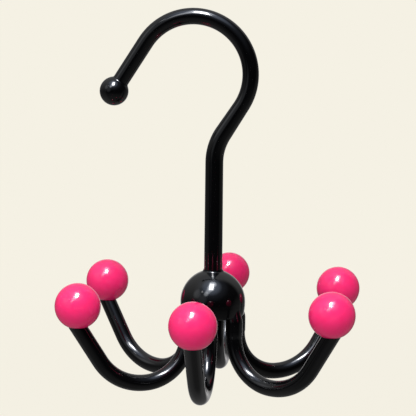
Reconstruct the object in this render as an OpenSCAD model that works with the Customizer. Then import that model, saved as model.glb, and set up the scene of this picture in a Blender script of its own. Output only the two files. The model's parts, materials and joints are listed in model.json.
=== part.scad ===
// Tie hanger: a bent hook that turns in a round hub, and a claw of six J-shaped arms
// with a coloured ball pressed on each end. Millimetres, +Z up.
// The shapes are laid out from the hub: x = y = 0 is the line of the shaft and z = 0 is
// the height at which the hub is widest. place() then moves everything so that the origin
// of the part is the spot under the top of the arch, where the rail touches the hook.

/* [Hook] */
// Diameter of the rod along the arch and the tip
hook_d = 8; // [6.6:0.1:8.4]
// Diameter of the rod at the small bend above the shaft
neck_d = 8.8; // [8.4:0.1:9]
// Diameter of the shaft where it enters the hub
shaft_d = 9; // [9:0.1:9.6]
// Height of the straight shaft above the widest part of the hub
shaft_len = 69; // [45:1:110]
// Radius of the small bend above the shaft, on the centre line
bend_r = 26; // [15:1:40]
// Lean of the slanting stretch and of the tip from the vertical
hook_lean = 33; // [26:1:40]
// Length of the slanting stretch between the small bend and the arch
slant_len = 15.6; // [6:0.2:30]
// Radius of the arch on the centre line
arch_r = 28; // [24:1:40]
// Length of the straight tip, from the arch to the centre of the tip ball
tip_len = 28.5; // [18:0.5:40]
// Diameter of the ball on the tip
tip_ball_d = 14.2; // [12:0.2:18]
// Radius of the hollow blend between the rod and the tip ball
tip_blend_r = 1.2; // [0.6:0.2:2]

/* [Hub] */
// Diameter of the dome
hub_d = 32; // [31:0.5:36]
// Wall of the dome
hub_wall = 2.4; // [1.6:0.2:3]
// Radius of the slight belly below the dome, seen from the side
belly_r = 30; // [26:1:60]
// Depth of the hub below its widest height
skirt_h = 6.6; // [6:0.2:9]
// Depth of the seam between dome and base below the widest height
seam_drop = 1.4; // [1:0.2:2]
// Rounding of the lower edge of the hub
edge_r = 1; // [0.6:0.1:1.2]
// Wall of the boss round the shaft inside the dome
boss_wall = 2.4; // [1.6:0.2:2.8]
// Radius of the hollow blend where the dome rises to the shaft
neck_blend_r = 1.2; // [0.8:0.1:1.6]
// Width of the flat lip of the dome round the shaft
lip_w = 0.3; // [0.2:0.1:0.6]

/* [Arms] */
// Diameter of the arms
arm_d = 8; // [7:0.1:8.2]
// Distance of each arm from the line of the shaft, at the hub
arm_circle_r = 13.2; // [13:0.1:13.8]
// Depth at which the arms start to curve out, below the widest height of the hub
arm_drop = 16; // [12:1:24]
// Radius of the inner half of the curve, on the centre line
inner_bend_r = 22; // [16:1:30]
// Length of the level stretch between the two halves of the curve
arm_level_len = 0.6; // [0.4:0.2:4]
// Radius of the outer half of the curve, on the centre line
outer_bend_r = 26.5; // [20:0.5:34]
// Lean of the arm's end stretch from the vertical
arm_lean = 32; // [24:1:38]
// Length of the arm's straight end stretch
arm_end_len = 21.2; // [14:0.2:34]
// Depth of the centre of the arm's rounded top end, below the widest height of the hub
peg_drop = 2; // [1.6:0.2:2.6]
// Wall of the dome round the top of each socket
socket_wall = 1.4; // [1:0.1:1.8]

/* [Balls] */
// Diameter of the coloured balls
ball_d = 22; // [18:0.5:28]
// Width of the flat round the arm under each ball
flat_margin = 0.2; // [0.1:0.1:1]
// Diameter of the spigot on the arm's end
spigot_d = 5.2; // [4:0.2:5.4]
// Length of the spigot above the flat of the ball
spigot_len = 11; // [7:0.5:13]

/* [Swivel] */
// Thickness of the web of the base that hangs on the washer
web_t = 2; // [1.6:0.2:2.4]
// Diameter of the washer under the shaft
washer_d = 12.8; // [12:0.2:13.2]
// Thickness of the washer
washer_t = 1; // [0.6:0.1:1.2]
// Diameter of the screw's thread
screw_d = 3; // [2.5:0.1:3.5]
// Length of the screw in the shaft
screw_len = 12; // [8:1:18]
// Diameter of the screw's head
head_d = 6.4; // [5.6:0.2:7]
// Height of the screw's head
head_h = 1.6; // [1.2:0.1:1.8]
// Width of the cross slot in the screw's head
slot_w = 0.9; // [0.6:0.1:1.2]
// Depth of the cross slot in the screw's head
slot_deep = 0.9; // [0.6:0.1:1]

/* [Fits] */
// Radial clearance of the shaft in the hub, where it turns
running_gap = 0.06; // [0.03:0.01:0.1]
// Play between the web of the base and the washer
thrust_gap = 0.1; // [0.05:0.05:0.2]
// Radial clearance of the pieces that are pressed and bonded
press_gap = 0.03; // [0.02:0.01:0.05]
// Room round the washer and at the blind end of each hole
end_gap = 0.8; // [0.5:0.1:1]

/* [Hidden] */
$fn = 96;

black = [0.07, 0.07, 0.08];
pink = [1.0, 0.24, 0.5];
steel = [0.75, 0.76, 0.78];

// Six arms stand at equal angles, and the first points to the front
arm_total = 6;
arm_step = 360 / arm_total;
function arm_angle(k) = -90 + arm_step * (k - 1);

hook_r = hook_d / 2;
neck_r = neck_d / 2;
shaft_r = shaft_d / 2;
hub_r = hub_d / 2;
arm_r = arm_d / 2;
ball_r = ball_d / 2;
tip_ball_r = tip_ball_d / 2;

// Points of the hook's centre line in the plane y = 0, as [x, z]
bend_end = [bend_r * (1 - cos(hook_lean)), shaft_len + bend_r * sin(hook_lean)];
slant_end = bend_end + slant_len * [sin(hook_lean), cos(hook_lean)];
arch_mid = slant_end + arch_r * [-cos(hook_lean), sin(hook_lean)];

// The rail touches the underside of the arch at its top
seat = [arch_mid[0], 0, arch_mid[1] + arch_r - hook_r];

// The dome rises in a hollow blend to a lip round the shaft
bore_r = shaft_r + running_gap;
lip_r = bore_r + lip_w;
neck_top = sqrt(pow(hub_r + neck_blend_r, 2) - pow(lip_r + neck_blend_r, 2));

// The belly is an arc that is upright at the widest height, and the lower edge is rounded
belly_x = hub_r - belly_r;
edge_z = -skirt_h + edge_r;
edge_x = belly_x + sqrt(pow(belly_r - edge_r, 2) - pow(edge_z, 2));
edge_turn = asin(edge_z / (belly_r - edge_r));
seam_turn = -asin(seam_drop / belly_r);

// The base hangs on the washer by its web, above a round recess
web_bottom = -seam_drop - web_t;
shaft_bottom = web_bottom - thrust_gap;
washer_bottom = shaft_bottom - washer_t;
recess_r = washer_d / 2 + end_gap;

// Each arm has a rounded top in a socket and drops, curves out and rises to its ball
socket_r = arm_r + press_gap;
socket_top = -peg_drop + socket_r;
curve_x = arm_circle_r + inner_bend_r + arm_level_len;
curve_z = -arm_drop - inner_bend_r + outer_bend_r;
end_turn = 90 - arm_lean;
end_start = [curve_x + outer_bend_r * sin(end_turn), curve_z - outer_bend_r * cos(end_turn)];
arm_end = end_start + arm_end_len * [sin(arm_lean), cos(arm_lean)];

// The flat of each ball covers the slanting cut of the arm
flat_r = arm_r / cos(arm_lean) + flat_margin;
flat_drop = sqrt(pow(ball_r, 2) - pow(flat_r, 2));
spigot_r = spigot_d / 2;
spigot_root = (arm_r - spigot_r) / tan(arm_lean);

// Straight stretches of rod are slimmer than the bends by joint_step and enter them by joint_run
joint_step = 0.02;
joint_run = 0.4;

// Number of short steps in the small round stretches of the turned profiles
blend_steps = 8;
edge_steps = 6;
belly_steps = 6;

// Longer than any piece, for cuts
big = 400;

module place() {
    translate(-seat) children();
}

// A straight stretch of round rod along +Z. The children start where it ends.
// It is a hair slimmer than the bends and runs a little way into them at both ends.
module straight(len, r_start, r_end) {
    translate([0, 0, -joint_run])
        cylinder(h = len + 2 * joint_run, r1 = r_start - joint_step, r2 = r_end - joint_step);
    translate([0, 0, len])
        children();
}

// A bend of round rod that turns from +Z towards +X. The children start where it ends.
module bent(bend, turn, r) {
    translate([bend, 0, 0]) {
        rotate([90, 0, 0])
            rotate([0, 0, 180 - turn])
                rotate_extrude(angle = turn)
                    translate([bend, 0])
                        circle(r = r);
        rotate([0, turn, 0])
            translate([-bend, 0, 0])
                children();
    }
}

// Points of the hollow blend between a ball of radius r_ball and a rod of radius r_rod
function blend_mid(r_ball, r_rod, blend) =
    [r_rod + blend, sqrt(pow(r_ball + blend, 2) - pow(r_rod + blend, 2))];
function blend_arc(r_ball, r_rod, blend) =
    let (
        mid = blend_mid(r_ball, r_rod, blend),
        low = 180 + atan2(mid[1], mid[0])
    )
    [for (i = [0 : blend_steps]) let (a = low + (180 - low) * i / blend_steps)
        mid + blend * [cos(a), sin(a)]];

// The ball on the tip, with the hollow blend to the rod that comes down to it along -Z
module tip_ball() {
    sphere(r = tip_ball_r);
    rotate_extrude()
        polygon(concat(
            [[hook_r / 2, 0], [hook_r - tip_blend_r / 4, 0]],
            blend_arc(tip_ball_r, hook_r - joint_step, tip_blend_r),
            [[hook_r / 2, tip_ball_r + tip_blend_r]]
        ));
}

module hook_rod() {
    translate([0, 0, shaft_bottom])
        cylinder(h = neck_top - shaft_bottom, r = shaft_r);
    translate([0, 0, neck_top])
        straight(shaft_len - neck_top, shaft_r, neck_r)
            bent(bend_r, hook_lean, neck_r)
                straight(slant_len, neck_r, hook_r)
                    rotate([0, 0, 180])
                        bent(arch_r, 180, hook_r)
                            straight(tip_len, hook_r, hook_r)
                                rotate([180, 0, 0])
                                    tip_ball();
}

module hook() {
    color(black)
        place()
            difference() {
                hook_rod();
                translate([0, 0, shaft_bottom - 1])
                    cylinder(h = screw_len + end_gap + 1, r = screw_d / 2 + press_gap);
            }
}

// Half profile of the hub's outside from the seam up to the lip
module dome_profile() {
    intersection() {
        circle(r = hub_r);
        square([big, big]);
    }
    intersection() {
        translate([belly_x, 0])
            circle(r = belly_r);
        translate([0, -seam_drop])
            square([big, seam_drop]);
    }
    polygon(concat(
        [[shaft_r / 2, 0]],
        blend_arc(hub_r, lip_r, neck_blend_r),
        [[shaft_r / 2, neck_top]]
    ));
}

// Half profile of the room inside the dome, beside the boss
module dome_room_profile() {
    intersection() {
        circle(r = hub_r - hub_wall);
        translate([bore_r + boss_wall, -seam_drop - 1])
            square([big, big]);
    }
}

// A round hole or post for each arm, from height z0 to z1
module at_each_arm(r, z0, z1) {
    for (k = [1 : arm_total])
        rotate([0, 0, arm_angle(k)])
            translate([arm_circle_r, 0, z0])
                cylinder(h = z1 - z0, r = r);
}

module hub_dome() {
    color(black)
        place()
            difference() {
                rotate_extrude()
                    dome_profile();
                difference() {
                    rotate_extrude()
                        dome_room_profile();
                    at_each_arm(socket_r + socket_wall, -seam_drop - 2, socket_top + socket_wall);
                }
                at_each_arm(socket_r, -seam_drop - 1, -peg_drop);
                for (k = [1 : arm_total])
                    rotate([0, 0, arm_angle(k)])
                        translate([arm_circle_r, 0, -peg_drop])
                            sphere(r = socket_r);
                translate([0, 0, -seam_drop - 1])
                    cylinder(h = big, r = bore_r);
            }
}

// Half profile of the base, with the belly outside and the rounded lower edge
module base_profile() {
    polygon(concat(
        [for (i = [0 : edge_steps]) let (a = -90 + (90 + edge_turn) * i / edge_steps)
            [edge_x, edge_z] + edge_r * [cos(a), sin(a)]],
        [for (i = [1 : belly_steps]) let (a = edge_turn + (seam_turn - edge_turn) * i / belly_steps)
            [belly_x, 0] + belly_r * [cos(a), sin(a)]],
        [[0, -seam_drop], [0, -skirt_h]]
    ));
}

module hub_base() {
    color(black)
        place()
            difference() {
                rotate_extrude()
                    base_profile();
                at_each_arm(socket_r, -skirt_h - 1, 0);
                translate([0, 0, -skirt_h - 1])
                    cylinder(h = skirt_h + 1 + web_bottom, r = recess_r);
                translate([0, 0, -skirt_h - 1])
                    cylinder(h = skirt_h + 2, r = bore_r);
            }
}

// The slanting end of an arm, cut level under the ball, with the spigot that holds the ball
module arm_tip() {
    difference() {
        straight(arm_end_len + arm_d, arm_r, arm_r);
        translate([0, 0, arm_end_len])
            rotate([0, arm_lean, 0])
                translate([-big / 2, -big / 2, 0])
                    cube(big);
    }
    translate([0, 0, arm_end_len])
        rotate([0, arm_lean, 0])
            translate([0, 0, -spigot_root])
                cylinder(h = spigot_root + spigot_len, r = spigot_r);
}

// An arm in the plane y = 0, on the +X side of the shaft, laid from its rounded top down
module arm_shape() {
    straight_len = arm_drop - peg_drop;
    translate([arm_circle_r, 0, -peg_drop])
        rotate([180, 0, 0]) {
            sphere(r = arm_r);
            cylinder(h = straight_len, r = arm_r);
            translate([0, 0, straight_len])
                bent(inner_bend_r, 90, arm_r)
                    straight(arm_level_len, arm_r, arm_r)
                        bent(outer_bend_r, end_turn, arm_r)
                            arm_tip();
        }
}

module arm(k) {
    color(black)
        place()
            rotate([0, 0, arm_angle(k)])
                arm_shape();
}

module ball(k) {
    color(pink)
        place()
            rotate([0, 0, arm_angle(k)])
                translate([arm_end[0], 0, arm_end[1]])
                    difference() {
                        intersection() {
                            translate([0, 0, flat_drop])
                                sphere(r = ball_r);
                            translate([-ball_r, -ball_r, 0])
                                cube(2 * ball_d);
                        }
                        translate([0, 0, -1])
                            cylinder(h = 1 + spigot_len + end_gap, r = spigot_r + press_gap);
                    }
}

module swivel_washer() {
    color(steel)
        place()
            translate([0, 0, washer_bottom])
                difference() {
                    cylinder(h = washer_t, r = washer_d / 2);
                    translate([0, 0, -1])
                        cylinder(h = washer_t + 2, r = screw_d / 2 + press_gap);
                }
}

module swivel_screw() {
    color(steel)
        place()
            difference() {
                union() {
                    translate([0, 0, washer_bottom - head_h])
                        cylinder(h = head_h, r = head_d / 2);
                    translate([0, 0, washer_bottom])
                        cylinder(h = washer_t + screw_len, r = screw_d / 2);
                }
                for (turn = [0, 90])
                    rotate([0, 0, turn])
                        translate([-head_d / 3, -slot_w / 2, washer_bottom - head_h - 1])
                            cube([head_d * 2 / 3, slot_w, slot_deep + 1]);
            }
}

hook();
hub_dome();
hub_base();
arm(1);  // arm_1
arm(2);  // arm_2
arm(3);  // arm_3
arm(4);  // arm_4
arm(5);  // arm_5
arm(6);  // arm_6
ball(1);  // ball_1
ball(2);  // ball_2
ball(3);  // ball_3
ball(4);  // ball_4
ball(5);  // ball_5
ball(6);  // ball_6
swivel_washer();
swivel_screw();
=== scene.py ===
# %% [markdown]
# A tie hanger hangs from a wardrobe rail. A bent black hook turns in a round hub, and six
# J-shaped arms with pink balls on their ends stand out from the hub like a claw.
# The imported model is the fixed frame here. This lesson dresses it: each piece is modelled
# again as a smooth mesh with its moulding details, and gets the finish of its plastic.

# %% Load the frame
import json
import math

import bmesh
import bpy
from mathutils import Matrix, Vector


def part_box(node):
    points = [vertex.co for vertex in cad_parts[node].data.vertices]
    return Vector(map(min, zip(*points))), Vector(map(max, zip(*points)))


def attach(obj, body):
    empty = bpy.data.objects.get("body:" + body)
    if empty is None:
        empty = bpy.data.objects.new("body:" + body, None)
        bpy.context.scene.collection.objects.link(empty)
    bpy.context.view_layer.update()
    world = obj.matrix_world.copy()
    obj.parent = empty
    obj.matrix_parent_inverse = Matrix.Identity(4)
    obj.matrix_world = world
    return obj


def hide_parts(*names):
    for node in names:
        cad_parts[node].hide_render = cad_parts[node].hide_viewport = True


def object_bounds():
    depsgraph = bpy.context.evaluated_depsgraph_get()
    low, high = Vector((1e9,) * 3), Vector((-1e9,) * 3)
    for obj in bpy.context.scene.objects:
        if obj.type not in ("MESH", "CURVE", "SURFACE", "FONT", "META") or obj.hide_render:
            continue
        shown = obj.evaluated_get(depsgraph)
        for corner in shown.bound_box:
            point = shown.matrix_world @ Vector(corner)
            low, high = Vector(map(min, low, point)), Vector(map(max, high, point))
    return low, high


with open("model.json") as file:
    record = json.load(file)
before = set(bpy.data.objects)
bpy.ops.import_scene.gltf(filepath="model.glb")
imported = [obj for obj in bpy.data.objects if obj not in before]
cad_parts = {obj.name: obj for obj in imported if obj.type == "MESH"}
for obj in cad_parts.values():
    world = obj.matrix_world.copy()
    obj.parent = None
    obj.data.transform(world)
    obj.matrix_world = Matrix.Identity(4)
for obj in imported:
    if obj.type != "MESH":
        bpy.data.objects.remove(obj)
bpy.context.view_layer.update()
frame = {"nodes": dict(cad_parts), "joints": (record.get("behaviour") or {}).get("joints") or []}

# %% [markdown]
# Every piece is placed from the frame. The line of the shaft is the swivel's axis, and the
# height of the joint is the widest height of the hub, so this one point is read from the
# frame. The cells below give the hanger's own driving sizes in millimetres, as on a
# maker's drawing, and MM turns them to Blender's metres.

# %% Middle of the hub
MM = 0.001
HUB = Vector(frame["joints"][0]["pos_m"])
print("middle of the hub", [round(v / MM, 2) for v in HUB], "mm")

# %% [markdown]
# The camera stands where the photographer stood: a little to the right of the hook's front
# and a little above the hub, with a long lens. The focal length comes from the size of
# the balls in the picture and their spread. A tracking constraint could aim the camera, but
# it can't hold the picture's slight roll, so the camera's own three directions are worked
# out and set as one matrix.

# %% Camera
IMAGE_PX = 416
FOCAL_PX = 1393.75
SENSOR_MM = 36
CAMERA_DISTANCE = 0.68999
CAMERA_AZIMUTH_DEG = 7.277
CAMERA_AZIMUTH = math.radians(CAMERA_AZIMUTH_DEG)
CAMERA_HEIGHT_ANGLE = math.radians(11.245)
AIM_AZIMUTH = math.radians(-0.241 - CAMERA_AZIMUTH_DEG)
AIM_DOWN = math.radians(7.417)
CAMERA_ROLL = math.radians(0.6)

camera_data = bpy.data.cameras.new("photo_camera")
camera_data.sensor_width = SENSOR_MM
camera_data.lens = FOCAL_PX / IMAGE_PX * SENSOR_MM
camera_data.clip_start = 0.05
camera_data.clip_end = 50
camera = bpy.data.objects.new("photo_camera", camera_data)
bpy.context.scene.collection.objects.link(camera)
camera.location = HUB + CAMERA_DISTANCE * Vector((
    math.sin(CAMERA_AZIMUTH) * math.cos(CAMERA_HEIGHT_ANGLE),
    -math.cos(CAMERA_AZIMUTH) * math.cos(CAMERA_HEIGHT_ANGLE),
    math.sin(CAMERA_HEIGHT_ANGLE)))
look = Vector((
    math.sin(AIM_AZIMUTH) * math.cos(AIM_DOWN),
    math.cos(AIM_AZIMUTH) * math.cos(AIM_DOWN),
    -math.sin(AIM_DOWN)))
level_right = Vector((math.cos(AIM_AZIMUTH), -math.sin(AIM_AZIMUTH), 0))
level_up = level_right.cross(look)
right = level_right * math.cos(CAMERA_ROLL) + level_up * math.sin(CAMERA_ROLL)
up = level_up * math.cos(CAMERA_ROLL) - level_right * math.sin(CAMERA_ROLL)
turn = Matrix((right, up, -look)).transposed().to_4x4()
camera.matrix_world = Matrix.Translation(camera.location) @ turn
bpy.context.scene.camera = camera
print("lens", round(camera_data.lens, 1), "mm")

# %% [markdown]
# Colours are written as the sRGB hex values that a designer would read off a chip.
# Blender's shaders work in linear light, so one function turns them round.

# %% Colour helper
def linear(hex_colour):
    channels = [int(hex_colour[i:i + 2], 16) / 255 for i in (1, 3, 5)]
    curve = [c / 12.92 if c <= 0.04045 else ((c + 0.055) / 1.055) ** 2.4 for c in channels]
    return (*curve, 1.0)


BACKDROP = linear("#F5F1E4")
print("backdrop", [round(c, 3) for c in BACKDROP[:3]])

# %% [markdown]
# One small function adds a node, sets it and links it. Everything that is the same all
# over a surface is set on the shader itself, and only patterns come through nodes.

# %% Node helper
def add_node(tree, kind, settings=None, inputs=None, links=None):
    node = tree.nodes.new(kind)
    for key, value in (settings or {}).items():
        setattr(node, key, value)
    for key, value in (inputs or {}).items():
        node.inputs[key].default_value = value
    for key, source in (links or {}).items():
        tree.links.new(source, node.inputs[key])
    return node


def start_material(name):
    material = bpy.data.materials.new(name)
    material.use_nodes = True
    tree = material.node_tree
    tree.nodes.clear()
    out = add_node(tree, "ShaderNodeOutputMaterial")
    return material, tree, out


print("helpers", add_node.__name__, start_material.__name__)

# %% [markdown]
# The hook, hub and arms are injection-moulded polystyrene in black, straight from a
# polished mould. The eye sees almost no colour, only clear reflections. The skin is a
# little duller in patches a few millimetres wide, and it has the low waviness of thick
# moulded rods. The IOR of polystyrene is 1.59.

# %% Black moulded polystyrene
POLYSTYRENE_IOR = 1.59
SINK_WAVE_MM = 9
SINK_DEPTH_MM = 0.05
SINK_STRENGTH = 0.2
DULL_PATCH_MM = 4
BLACK_CLEAR = 0.07
BLACK_DULL = 0.12


def moulded_black():
    material, tree, out = start_material("polystyrene_black_polished")
    coords = add_node(tree, "ShaderNodeTexCoord")
    sink = add_node(tree, "ShaderNodeTexNoise",
                    inputs={"Scale": 1 / (SINK_WAVE_MM * MM), "Detail": 1.0, "Roughness": 0.4},
                    links={"Vector": coords.outputs["Object"]})
    dull = add_node(tree, "ShaderNodeTexNoise",
                    inputs={"Scale": 1 / (DULL_PATCH_MM * MM), "Detail": 2.0},
                    links={"Vector": coords.outputs["Object"]})
    rough = add_node(tree, "ShaderNodeMapRange",
                     inputs={"To Min": BLACK_CLEAR, "To Max": BLACK_DULL},
                     links={"Value": dull.outputs["Fac"]})
    wave = add_node(tree, "ShaderNodeBump",
                    inputs={"Strength": SINK_STRENGTH, "Distance": SINK_DEPTH_MM * MM},
                    links={"Height": sink.outputs["Fac"]})
    tint = add_node(tree, "ShaderNodeMix", settings={"data_type": "RGBA"},
                    inputs={"A": linear("#030304"), "B": linear("#060607")},
                    links={"Factor": sink.outputs["Fac"]})
    skin = add_node(tree, "ShaderNodeBsdfPrincipled",
                    inputs={"IOR": POLYSTYRENE_IOR},
                    links={"Base Color": tint.outputs["Result"],
                           "Roughness": rough.outputs["Result"],
                           "Normal": wave.outputs["Normal"]})
    tree.links.new(skin.outputs["BSDF"], out.inputs["Surface"])
    return material


black_plastic = moulded_black()
print(black_plastic.name)

# %% [markdown]
# The balls are the same plastic with a hot pink pigment. The pigment lets a little light
# in, which softens the edge between light and shade, so a short red subsurface glow is
# added. The colour moves a little between two close pinks, in clouds a few millimetres
# wide, and the skin is a touch softer than the black one.

# %% Pink moulded polystyrene
PIGMENT_CLOUD_MM = 6
PINK_CLEAR = 0.1
PINK_DULL = 0.14
GLOW_SHARE = 0.15
GLOW_DEPTH_MM = 1.2
GLOW_BY_COLOUR = (1.0, 0.25, 0.35)


def moulded_pink():
    material, tree, out = start_material("polystyrene_hot_pink_polished")
    coords = add_node(tree, "ShaderNodeTexCoord")
    cloud = add_node(tree, "ShaderNodeTexNoise",
                     inputs={"Scale": 1 / (PIGMENT_CLOUD_MM * MM), "Detail": 2.0},
                     links={"Vector": coords.outputs["Object"]})
    tint = add_node(tree, "ShaderNodeMix", settings={"data_type": "RGBA"},
                    inputs={"A": linear("#F72C70"), "B": linear("#FB3277")},
                    links={"Factor": cloud.outputs["Fac"]})
    rough = add_node(tree, "ShaderNodeMapRange",
                     inputs={"To Min": PINK_CLEAR, "To Max": PINK_DULL},
                     links={"Value": cloud.outputs["Fac"]})
    skin = add_node(tree, "ShaderNodeBsdfPrincipled",
                    inputs={"IOR": POLYSTYRENE_IOR,
                            "Subsurface Weight": GLOW_SHARE,
                            "Subsurface Scale": GLOW_DEPTH_MM * MM,
                            "Subsurface Radius": GLOW_BY_COLOUR},
                    links={"Base Color": tint.outputs["Result"],
                           "Roughness": rough.outputs["Result"]})
    tree.links.new(skin.outputs["BSDF"], out.inputs["Surface"])
    return material


pink_plastic = moulded_pink()
print(pink_plastic.name)

# %% [markdown]
# The screw and the washer under the hub are zinc-plated steel, turned and stamped. The
# zinc shows a cool grey, and the lathe leaves fine rings round the shaft's axis that change
# the gloss. Real rings are too fine to show, so these are drawn coarser, about 0.94 mm
# apart. A full ring is 2 pi radians of the wave texture, which has a factor of 20 of its
# own, so the scale is worked out from the size of one radian.

# %% Zinc-plated steel
LATHE_RADIAN_MM = 0.15
WAVE_FACTOR = 20
STEEL_CLEAR = 0.26
STEEL_DULL = 0.42


def zinc_steel():
    material, tree, out = start_material("zinc_plated_steel_turned")
    coords = add_node(tree, "ShaderNodeTexCoord")
    centred = add_node(tree, "ShaderNodeVectorMath", settings={"operation": "SUBTRACT"},
                       inputs={1: HUB}, links={0: coords.outputs["Object"]})
    rings = add_node(tree, "ShaderNodeTexWave",
                     settings={"wave_type": "RINGS", "rings_direction": "Z"},
                     inputs={"Scale": 1 / (LATHE_RADIAN_MM * MM) / WAVE_FACTOR,
                             "Distortion": 0.6},
                     links={"Vector": centred.outputs["Vector"]})
    rough = add_node(tree, "ShaderNodeMapRange",
                     inputs={"To Min": STEEL_CLEAR, "To Max": STEEL_DULL},
                     links={"Value": rings.outputs["Fac"]})
    skin = add_node(tree, "ShaderNodeBsdfPrincipled",
                    inputs={"Base Color": linear("#C3C7CC"), "Metallic": 1.0},
                    links={"Roughness": rough.outputs["Result"]})
    tree.links.new(skin.outputs["BSDF"], out.inputs["Surface"])
    return material


steel = zinc_steel()
print(steel.name)

# %% [markdown]
# Every plastic piece is a skin over rings of points. The skin joins each ring to the next
# one with a band of faces. It ends in two caps, as on a rod, or it comes round to the first
# ring again, as on a shell that is spun from a closed outline.

# %% Skin helper
def skinned_mesh(name, mesh, rings, place, comes_round=False):
    following = rings[1:] + rings[:1] if comes_round else rings[1:]
    for low, high in zip(rings, following):
        for i in range(len(low)):
            j = (i + 1) % len(low)
            mesh.faces.new((low[i], low[j], high[j], high[i]))
    if not comes_round:
        mesh.faces.new(list(reversed(rings[0])))
        mesh.faces.new(rings[-1])
    mesh.transform(place)
    bmesh.ops.recalc_face_normals(mesh, faces=mesh.faces)
    data = bpy.data.meshes.new(name)
    mesh.to_mesh(data)
    mesh.free()
    return data


print("helper", skinned_mesh.__name__)

# %% [markdown]
# A moulded rod is a round section that travels along a path. The path is a list of
# stations, each with a place, a heading and a radius. Straight stretches need few
# stations, bends need one every few degrees, and the rod's plane stays upright, so the
# section never twists. A curve with a round bevel could make a plain rod too, but not one
# with a level cut: there each point of the last ring slides along the rod until it reaches
# the height of the ring's middle.

# %% Rod helpers
SECTION_SIDES = 64
BEND_STEP = math.radians(3)


def heading(angle):
    return Vector((math.sin(angle), 0, math.cos(angle)))


def across(angle):
    return Vector((math.cos(angle), 0, -math.sin(angle)))


def straight_on(stations, length, r_end, steps=1):
    place, angle, r_start = stations[-1]
    for i in range(1, steps + 1):
        share = i / steps
        stations.append((place + heading(angle) * length * share, angle,
                         r_start + (r_end - r_start) * share))


def bend_on(stations, bend_r, angle_by):
    place, angle, radius = stations[-1]
    side = 1 if angle_by > 0 else -1
    centre = place + across(angle) * bend_r * side
    steps = round(abs(angle_by) / BEND_STEP)
    for i in range(1, steps + 1):
        new_angle = angle + angle_by * i / steps
        stations.append((centre - across(new_angle) * bend_r * side, new_angle, radius))


def rod_mesh(name, stations, plane_turn, level_cut=False):
    mesh = bmesh.new()
    turns = [2 * math.pi * i / SECTION_SIDES for i in range(SECTION_SIDES)]
    rings = [[mesh.verts.new(place + across(angle) * math.cos(a) * radius
                             + Vector((0, math.sin(a) * radius, 0))) for a in turns]
             for place, angle, radius in stations]
    if level_cut:
        place, angle, _ = stations[-1]
        along = heading(angle)
        for point in rings[-1]:
            point.co += along * ((place.z - point.co.z) / along.z)
    turned = Matrix.Translation(HUB) @ Matrix.Rotation(plane_turn, 4, "Z")
    return skinned_mesh(name, mesh, rings, turned)


print("bend stations every", round(math.degrees(BEND_STEP)), "degrees")

# %% [markdown]
# Each piece rides on a body of the frame, gets its finish and takes the place of one node.
# All pieces are shaded smooth, but the edges of their cuts and flats stay sharp, since
# smooth shading across them would draw false bright lines.

# %% Piece helper
SHARP_FROM = math.radians(28)


def show_piece(name, data, material, body, node):
    for face in data.polygons:
        face.use_smooth = True
    data.set_sharp_from_angle(angle=SHARP_FROM)
    piece = bpy.data.objects.new(name, data)
    bpy.context.scene.collection.objects.link(piece)
    data.materials.append(material)
    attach(piece, body)
    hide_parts(node)


print("edges stay sharp from", round(math.degrees(SHARP_FROM)), "degrees")

# %% [markdown]
# The hook ends in a small ball that keeps clothes from snagging. A sphere pushed over the
# rod would leave a hard crease, but rod and ball are one moulding. So the ball is part of
# the same sweep: the radius follows a hollow blend and then the ball's own circle, down to
# a tiny ring at the pole.

# %% Ball end of a rod
BLEND_STEPS = 10
BALL_STEPS = 24
POLE_SHARE = 0.002


def blend_length(ball_r, rod_r, blend_r):
    return math.sqrt((ball_r + blend_r) ** 2 - (rod_r + blend_r) ** 2)


def ball_end(stations, ball_r, rod_r, blend_r):
    reach = blend_length(ball_r, rod_r, blend_r)
    place, angle, _ = stations[-1]
    centre = place + heading(angle) * reach
    meet = math.atan2(rod_r + blend_r, reach)
    for i in range(1, BLEND_STEPS + 1):
        a = (math.pi / 2 - meet) * i / BLEND_STEPS
        along = blend_r * math.sin(a)
        radius = rod_r + blend_r - blend_r * math.cos(a)
        stations.append((place + heading(angle) * along, angle, radius))
    for i in range(1, BALL_STEPS + 1):
        a = meet + (math.pi - meet) * i / BALL_STEPS
        radius = max(ball_r * math.sin(a), ball_r * POLE_SHARE)
        stations.append((centre - heading(angle) * ball_r * math.cos(a), angle, radius))


print("ball end stations", BLEND_STEPS + BALL_STEPS)

# %% [markdown]
# The hook is one moulding. It starts inside the hub, rises straight, leans out in a
# small bend, thins a little on the slanting stretch, goes round the arch and comes down
# to its ball. The shaft also thins a little, from the height where the hub's dome blends
# into it, so that height is worked out here already.

# %% Hook
SHAFT_R = 4.5 * MM
SHAFT_LEN = 69 * MM
NECK_R = 4.4 * MM
BEND_R = 26 * MM
HOOK_LEAN = math.radians(33)
SLANT_LEN = 15.6 * MM
HOOK_R = 4.0 * MM
ARCH_R = 28 * MM
TIP_LEN = 28.5 * MM
TIP_BALL_R = 7.1 * MM
TIP_BLEND_R = 1.2 * MM
HUB_R = 16 * MM
LIP_R = 4.86 * MM
NECK_BLEND_R = 1.2 * MM

tip_blend = blend_length(TIP_BALL_R, HOOK_R, TIP_BLEND_R)
neck_top = blend_length(HUB_R, LIP_R, NECK_BLEND_R)
shaft_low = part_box("hook")[0].z - HUB.z
hook_path = [(Vector((0, 0, shaft_low)), 0.0, SHAFT_R)]
straight_on(hook_path, neck_top - shaft_low, SHAFT_R, steps=4)
straight_on(hook_path, SHAFT_LEN - neck_top, NECK_R, steps=12)
bend_on(hook_path, BEND_R, HOOK_LEAN)
straight_on(hook_path, SLANT_LEN, HOOK_R, steps=4)
bend_on(hook_path, ARCH_R, -math.pi)
straight_on(hook_path, TIP_LEN - tip_blend, HOOK_R, steps=4)
ball_end(hook_path, TIP_BALL_R, HOOK_R, TIP_BLEND_R)
show_piece("hook_moulding", rod_mesh("hook_moulding", hook_path, 0.0),
           black_plastic, "hook_body", "hook")
print("hook stations", len(hook_path))

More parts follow.
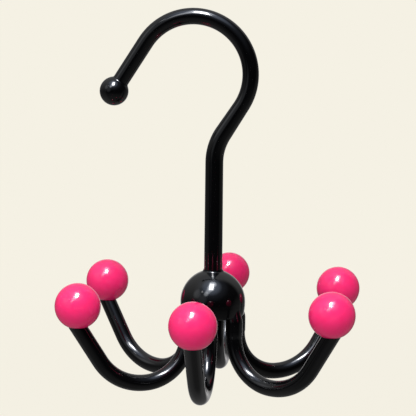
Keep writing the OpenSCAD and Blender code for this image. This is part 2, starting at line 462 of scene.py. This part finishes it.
# %% [markdown]
# The dome and the base are turned forms. A sphere cut by other solids would give ragged
# faces, so a profile of radius and height is spun round an upright axis instead, with its
# round stretches as arcs.

# %% Lathe helpers
LATHE_SIDES = 128


def arc(centre, radius, start, end, steps):
    turns = [start + (end - start) * i / steps for i in range(steps + 1)]
    return [(centre[0] + radius * math.cos(a), centre[1] + radius * math.sin(a)) for a in turns]


def lathe_mesh(name, profile, middle, comes_round):
    mesh = bmesh.new()
    turns = [2 * math.pi * i / LATHE_SIDES for i in range(LATHE_SIDES)]
    rings = [[mesh.verts.new((radius * math.cos(a), radius * math.sin(a), height)) for a in turns]
             for radius, height in profile]
    return skinned_mesh(name, mesh, rings, Matrix.Translation(middle), comes_round)


print("lathe sides", LATHE_SIDES)

# %% [markdown]
# The dome is the upper shell of the hub, and it ends in a small hollow blend at the shaft.
# The two shells meet a little under the hub's widest height. A hair-thin bevel on the
# dome's lower edge makes the groove that marks this seam.

# %% Hub dome
RUNNING_GAP = 0.05 * MM
HUB_WALL = 2.4 * MM
BELLY_R = 30 * MM
SEAM_DROP = 1.4 * MM
SEAM_GROOVE = 0.06 * MM
DOME_STEPS = 40
LIP_STEPS = 10

bore_r = SHAFT_R + RUNNING_GAP
belly_centre = (HUB_R - BELLY_R, 0.0)
belly_turn = -math.asin(SEAM_DROP / BELLY_R)
seam_r = belly_centre[0] + BELLY_R * math.cos(belly_turn)
neck_centre = (LIP_R + NECK_BLEND_R, neck_top)
meet_angle = math.atan2(neck_centre[1], neck_centre[0])
dome_profile = (
    [(bore_r, -SEAM_DROP), (HUB_R - HUB_WALL, -SEAM_DROP),
     (seam_r - SEAM_GROOVE, -SEAM_DROP), (seam_r, -SEAM_DROP + SEAM_GROOVE)]
    + arc((0.0, 0.0), HUB_R, 0.0, meet_angle, DOME_STEPS)
    + arc(neck_centre, NECK_BLEND_R, math.pi + meet_angle, math.pi, LIP_STEPS)[1:]
    + [(bore_r, neck_top)])
show_piece("hub_dome_shell", lathe_mesh("hub_dome_shell", dome_profile, HUB, comes_round=True),
           black_plastic, "claw", "hub_dome")
frame_hub_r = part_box("hub_dome")[1].y - HUB.y
print("hub radius", round(HUB_R / MM, 2), "mm, in the frame", round(frame_hub_r / MM, 2))

# %% [markdown]
# The base is the lower shell. Its side has a slight belly, its lower edge is rounded, and a
# round recess in its underside takes the washer and the screw.

# %% Hub base
SKIRT_H = 6.6 * MM
HUB_EDGE_R = 1 * MM
RECESS_R = 7.2 * MM
WEB_BOTTOM = -3.4 * MM
EDGE_STEPS = 10
BELLY_STEPS = 12

edge_z = -SKIRT_H + HUB_EDGE_R
edge_x = belly_centre[0] + math.sqrt((BELLY_R - HUB_EDGE_R) ** 2 - edge_z ** 2)
edge_turn = math.asin(edge_z / (BELLY_R - HUB_EDGE_R))
base_profile = (
    [(bore_r, -SEAM_DROP), (bore_r, WEB_BOTTOM), (RECESS_R, WEB_BOTTOM), (RECESS_R, -SKIRT_H)]
    + arc((edge_x, edge_z), HUB_EDGE_R, -math.pi / 2, edge_turn, EDGE_STEPS)
    + arc(belly_centre, BELLY_R, edge_turn, belly_turn, BELLY_STEPS)[1:]
    + [(seam_r - SEAM_GROOVE, -SEAM_DROP)])
show_piece("hub_base_shell", lathe_mesh("hub_base_shell", base_profile, HUB, comes_round=True),
           black_plastic, "claw", "hub_base")
print("dome points", len(dome_profile), "base points", len(base_profile))

# %% [markdown]
# Each arm is a J of round rod. Its rounded top sits in a socket of the hub and is drawn in
# a little, so that the arm flows out of the hub's side. The straight leg under the hub is
# a hair thicker and ends in a small step where the bend begins. The arm's end is cut
# level, so that the ball sits flat on it. The same stations serve all six arms, which only
# turn about the shaft.

# %% Path of an arm
ARM_R = 4.0 * MM
ARM_CIRCLE_R = 13.2 * MM
PEG_DROP = 2 * MM
TOP_R = 3.6 * MM
TOP_POLE_SHARE = 0.01
TOP_DRAWN_IN = 0.9 * MM
TOP_STEPS = 12
FLARE_LEN = 7 * MM
FLARE_STEPS = 10
LEG_R = 4.2 * MM
LEG_STEP = 0.8 * MM
ARM_DROP = 16 * MM
INNER_BEND_R = 22 * MM
LEVEL_LEN = 0.6 * MM
OUTER_BEND_R = 26.5 * MM
ARM_LEAN = math.radians(32)
ARM_END_LEN = 21.2 * MM


def arm_stations():
    stations = []
    top = Vector((ARM_CIRCLE_R - TOP_DRAWN_IN, 0, -PEG_DROP))
    for i in range(TOP_STEPS + 1):
        a = math.pi / 2 * i / TOP_STEPS
        stations.append((top + Vector((0, 0, TOP_R * math.cos(a))), math.pi,
                         max(TOP_R * math.sin(a), TOP_R * TOP_POLE_SHARE)))
    for i in range(1, FLARE_STEPS + 1):
        share = i / FLARE_STEPS
        ease = share * share * (3 - 2 * share)
        stations.append((top + Vector((TOP_DRAWN_IN * ease, 0, -FLARE_LEN * share)), math.pi,
                         TOP_R + (LEG_R - TOP_R) * ease))
    straight_on(stations, ARM_DROP - PEG_DROP - FLARE_LEN - LEG_STEP, LEG_R, steps=3)
    straight_on(stations, LEG_STEP, ARM_R)
    bend_on(stations, INNER_BEND_R, -math.pi / 2)
    straight_on(stations, LEVEL_LEN, ARM_R)
    bend_on(stations, OUTER_BEND_R, -(math.pi / 2 - ARM_LEAN))
    straight_on(stations, ARM_END_LEN, ARM_R, steps=6)
    return stations


arm_path = arm_stations()
print("arm end", [round(v / MM, 2) for v in arm_path[-1][0]], "mm from the hub's middle")

# %% [markdown]
# The first arm points to the front, and the others follow every 60 degrees. Each is a mesh
# of its own, because each takes the place of its own node.

# %% Arms
ARM_COUNT = 6
FIRST_ARM_DEG = -90

for k in range(1, ARM_COUNT + 1):
    arm_turn = math.radians(FIRST_ARM_DEG + 360 / ARM_COUNT * (k - 1))
    name = f"arm_rod_{k}"
    show_piece(name, rod_mesh(name, arm_path, arm_turn, level_cut=True),
               black_plastic, "claw", f"arm_{k}")
print("arms", ARM_COUNT)

# %% [markdown]
# Each ball has a flat underside with a rounded rim, and the arm's level cut stands on
# that flat. A ready-made sphere has no such flat, so the profile is spun round the ball's
# own upright axis. It stops a hair short of the axis at both ends, where two tiny caps
# close it. The flat is as wide as the arm's slanting cut and a little more.

# %% Balls
BALL_R = 11 * MM
FLAT_MARGIN = 0.2 * MM
RIM_R = 0.35 * MM
POLE_R = 0.01 * MM
TOP_TURN = math.pi / 2 * 0.998
RIM_STEPS = 6
SPHERE_STEPS = 74

flat_r = ARM_R / math.cos(ARM_LEAN) + FLAT_MARGIN
flat_drop = math.sqrt(BALL_R ** 2 - flat_r ** 2)
rim_z = RIM_R - flat_drop
rim_x = math.sqrt((BALL_R - RIM_R) ** 2 - rim_z ** 2)
rim_turn = math.atan2(rim_z, rim_x)
ball_profile = (
    [(POLE_R, -flat_drop)]
    + arc((rim_x, rim_z), RIM_R, -math.pi / 2, rim_turn, RIM_STEPS)
    + arc((0.0, 0.0), BALL_R, rim_turn, TOP_TURN, SPHERE_STEPS)[1:])
for k in range(1, ARM_COUNT + 1):
    node_low, node_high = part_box(f"ball_{k}")
    middle = (node_low + node_high) / 2
    middle.z = node_high.z - BALL_R
    name = f"pink_ball_{k}"
    show_piece(name, lathe_mesh(name, ball_profile, middle, comes_round=False),
               pink_plastic, "claw", f"ball_{k}")
ball_low, ball_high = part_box("ball_1")
frame_ball_r = (ball_high.x - ball_low.x) / 2
print("ball radius", round(BALL_R / MM, 2), "mm, in the frame", round(frame_ball_r / MM, 2))
print("ball flat", round(flat_drop / MM, 2), "mm below its middle")

# %% [markdown]
# The screw and the washer keep their own meshes: they are small, flat-faced and right as
# they are. Only their material slots are filled.

# %% Steel pieces
STEEL_NODES = ("swivel_washer", "swivel_screw")

for node in STEEL_NODES:
    frame["nodes"][node].data.materials.clear()
    frame["nodes"][node].data.materials.append(steel)
print("steel on", *STEEL_NODES)

# %% [markdown]
# The studio has a plain pale floor some way under the hanging claw, and a pale world behind
# it. Far from the claw the camera sees the backdrop's own colour, so that floor and world
# make one plain cream ground. Near the claw a small share of the floor is real paint, which
# keeps the object's soft shadow. Only the camera and the lamps meet the floor.

# %% Floor
FLOOR_DROP = 0.13
FLOOR_SIZE = 6.0
SHADOW_NEAR = 0.15
SHADOW_FAR = 0.9
PLAIN_SHARE_NEAR = 0.92


def pale_floor_material():
    material, tree, out = start_material("painted_board_cream")
    ray = add_node(tree, "ShaderNodeLightPath")
    paint = add_node(tree, "ShaderNodeBsdfDiffuse", inputs={"Color": BACKDROP})
    ground = add_node(tree, "ShaderNodeEmission", inputs={"Color": BACKDROP, "Strength": 1.0})
    coords = add_node(tree, "ShaderNodeTexCoord")
    away = add_node(tree, "ShaderNodeVectorMath", settings={"operation": "LENGTH"},
                    links={0: coords.outputs["Object"]})
    share = add_node(tree, "ShaderNodeMapRange",
                     inputs={"From Min": SHADOW_NEAR, "From Max": SHADOW_FAR,
                             "To Min": PLAIN_SHARE_NEAR, "To Max": 1.0},
                     links={"Value": away.outputs["Value"]})
    seen = add_node(tree, "ShaderNodeMath", settings={"operation": "MULTIPLY"},
                    links={0: ray.outputs["Is Camera Ray"], 1: share.outputs["Result"]})
    blend = add_node(tree, "ShaderNodeMixShader",
                     links={0: seen.outputs["Value"], 1: paint.outputs["BSDF"],
                            2: ground.outputs["Emission"]})
    tree.links.new(blend.outputs["Shader"], out.inputs["Surface"])
    return material


floor_mesh = bmesh.new()
bmesh.ops.create_grid(floor_mesh, x_segments=8, y_segments=8, size=FLOOR_SIZE / 2)
floor_data = bpy.data.meshes.new("studio_floor")
floor_mesh.to_mesh(floor_data)
floor_mesh.free()
floor_data.materials.append(pale_floor_material())
floor = bpy.data.objects.new("studio_floor", floor_data)
bpy.context.scene.collection.objects.link(floor)
floor.location = (HUB.x, 0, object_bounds()[0][2] - FLOOR_DROP)
floor.visible_glossy = False
floor.visible_diffuse = False
print("floor at", round(floor.location.z, 3))

# %% [markdown]
# Gloss is nothing but what it mirrors, so the studio's light is planned by direction. One
# function gives a direction from the hub by two angles, as a photographer would say it: so
# far round from the camera, and so far up.

# %% Studio directions
def studio_way(side, height):
    """A direction from the hub: side 0 points at the camera, negative is to its left."""
    azimuth = math.atan2(-look.y, -look.x) + math.radians(side)
    level = math.cos(math.radians(height))
    return Vector((math.cos(azimuth) * level, math.sin(azimuth) * level,
                   math.sin(math.radians(height))))


KEY_WAY = studio_way(-10, 63)
print("key lamp", [round(v, 2) for v in KEY_WAY])

# %% [markdown]
# The world has a face of its own for mirrored rays. A picture of a studio could serve, but
# a few nodes give a cleaner one: a grey wall behind the object that is brighter towards
# the ceiling, a grey ground below, and a dark room in front, which makes the plastic look
# black and deep. The limits are cosines. For the wall they count the angle from the front,
# and for the ceiling and the ground the angle from straight up.

# %% Mirrored room
FRONT_WAY = studio_way(25, 0)
WALL_FULL = -0.15
WALL_ENDS = 0.2
WALL_GLOW = 0.1
CEILING_GLOW = 0.5
CEILING_FULL = 0.75
GROUND_GLOW = 0.14
GROUND_STARTS = -0.12
GROUND_FULL = -0.75
ROOM_SHARE = 0.05
STRAIGHT_UP = Vector((0, 0, 1))

world = bpy.data.worlds.new("studio_world")
bpy.context.scene.world = world
world.use_nodes = True
sky = world.node_tree
sky.nodes.clear()
world_out = add_node(sky, "ShaderNodeOutputWorld")
ray = add_node(sky, "ShaderNodeLightPath")
way = add_node(sky, "ShaderNodeTexCoord").outputs["Generated"]


def facing(direction):
    dot = add_node(sky, "ShaderNodeVectorMath", settings={"operation": "DOT_PRODUCT"},
                   inputs={1: direction}, links={0: way})
    return dot.outputs["Value"]


behind = add_node(sky, "ShaderNodeMapRange", settings={"interpolation_type": "SMOOTHSTEP"},
                  inputs={"From Min": WALL_FULL, "From Max": WALL_ENDS,
                          "To Min": 1.0, "To Max": ROOM_SHARE},
                  links={"Value": facing(FRONT_WAY)})
above = add_node(sky, "ShaderNodeMapRange",
                 inputs={"From Max": CEILING_FULL, "To Min": WALL_GLOW, "To Max": CEILING_GLOW},
                 links={"Value": facing(STRAIGHT_UP)})
below = add_node(sky, "ShaderNodeMapRange",
                 inputs={"From Min": GROUND_STARTS, "From Max": GROUND_FULL,
                         "To Max": GROUND_GLOW},
                 links={"Value": facing(STRAIGHT_UP)})
room = add_node(sky, "ShaderNodeMath", settings={"operation": "MULTIPLY_ADD"},
                links={0: behind.outputs["Result"], 1: above.outputs["Result"],
                       2: below.outputs["Result"]})
mirrored = add_node(sky, "ShaderNodeBackground", inputs={"Color": linear("#F1F1F1")},
                    links={"Strength": room.outputs["Value"]}).outputs["Background"]
print("wall", WALL_GLOW, "ceiling", CEILING_GLOW, "ground", GROUND_GLOW)

# %% [markdown]
# Round spots of light stand in this room: a bluish glow round the key lamp in two steps, a
# spot over and one under it, two dimmer spots and a small one down at its left, two wide
# faint windows lower at the left, a faint glow low at the right, and a pale glow far
# behind, which gives every edge a thin light rim. Each line gives a spot's direction, the
# angle in degrees up to which it is full, the angle where it ends, its strength and its
# colour.

# %% Mirrored lights
MIRRORED_LIGHTS = [
    (KEY_WAY, 20, 60, 0.22, "#D6E4FF"),
    (KEY_WAY, 12, 36, 1.4, "#D6E4FF"),
    (studio_way(-4, 73), 5, 14, 7.0, "#F4F8FF"),
    (studio_way(-13, 58), 5, 14, 7.0, "#F4F8FF"),
    (studio_way(-23, 45), 2, 11, 3.4, "#F4F8FF"),
    (studio_way(-29, 35), 1, 10, 3.2, "#F4F8FF"),
    (studio_way(-49, 39), 1, 4, 3.5, "#FFFFFF"),
    (studio_way(-67, 27), 0, 18, 0.6, "#F0F4FA"),
    (studio_way(-42, 14), 0, 24, 0.3, "#F0F4FA"),
    (studio_way(100, -24), 8, 40, 0.1, "#F4F4F2"),
    (studio_way(180, -4), 12, 33, 0.6, "#F4F2F2"),
]

for direction, inner, outer, strength, colour in MIRRORED_LIGHTS:
    spot = add_node(sky, "ShaderNodeMapRange", settings={"interpolation_type": "SMOOTHSTEP"},
                    inputs={"From Min": math.cos(math.radians(outer)),
                            "From Max": math.cos(math.radians(inner)), "To Max": strength},
                    links={"Value": facing(direction)})
    glow = add_node(sky, "ShaderNodeBackground", inputs={"Color": linear(colour)},
                    links={"Strength": spot.outputs["Result"]})
    mirrored = add_node(sky, "ShaderNodeAddShader",
                        links={0: mirrored, 1: glow.outputs["Background"]}).outputs["Shader"]
print("mirrored lights", len(MIRRORED_LIGHTS))

# %% [markdown]
# The world shows a different face to each kind of ray. The camera sees the plain backdrop,
# mirrored rays see the room with its lights, and matt surfaces get an even white fill from
# all sides. So the picture's ground stays plain, whatever the plastic mirrors.

# %% World
FILL_STRENGTH = 0.34

backdrop_light = add_node(sky, "ShaderNodeBackground",
                          inputs={"Color": BACKDROP, "Strength": 1.0})
fill_light = add_node(sky, "ShaderNodeBackground",
                      inputs={"Color": linear("#FFFFFF"), "Strength": FILL_STRENGTH})
glossy_or_clear = add_node(sky, "ShaderNodeMath", settings={"operation": "MAXIMUM"},
                           links={0: ray.outputs["Is Glossy Ray"],
                                  1: ray.outputs["Is Transmission Ray"]})
seen_or_fill = add_node(sky, "ShaderNodeMixShader",
                        links={0: ray.outputs["Is Camera Ray"],
                               1: fill_light.outputs["Background"],
                               2: backdrop_light.outputs["Background"]})
all_rays = add_node(sky, "ShaderNodeMixShader",
                    links={0: glossy_or_clear.outputs["Value"],
                           1: seen_or_fill.outputs["Shader"], 2: mirrored})
sky.links.new(all_rays.outputs["Shader"], world_out.inputs["Surface"])
print("world nodes", len(sky.nodes))

# %% [markdown]
# One tall softbox hangs in front, high and a little to the left. It makes the tall white
# glint on every ball and on the dome. Two large soft panels, one at the left and one in
# front, brighten the balls from there, and they are kept out of the reflections. All three
# stand a metre from the hub and face it.

# %% Lamps
LAMP_DISTANCE = 1.0


def softbox(name, size, power, direction):
    data = bpy.data.lights.new(name, "AREA")
    data.shape = "RECTANGLE"
    data.size = size[0]
    data.size_y = size[1]
    data.energy = power
    lamp = bpy.data.objects.new(name, data)
    bpy.context.scene.collection.objects.link(lamp)
    lamp.location = HUB + direction.normalized() * LAMP_DISTANCE
    lamp.rotation_euler = (HUB - lamp.location).to_track_quat("-Z", "Y").to_euler()
    return lamp


key = softbox("key_softbox", size=(0.2, 0.4), power=9.6, direction=KEY_WAY)
panel = softbox("left_panel", size=(0.7, 0.7), power=2.4, direction=studio_way(-55, 18))
front = softbox("front_panel", size=(0.7, 0.3), power=2.3, direction=studio_way(4, 0))
for soft_lamp in (panel, front):
    soft_lamp.visible_glossy = False
print("lamps", key.name, panel.name, front.name)

# %% [markdown]
# The scene's view settings stay plain, so that a colour renders as it is written.

# %% Finish
bpy.context.scene.view_settings.view_transform = "Standard"
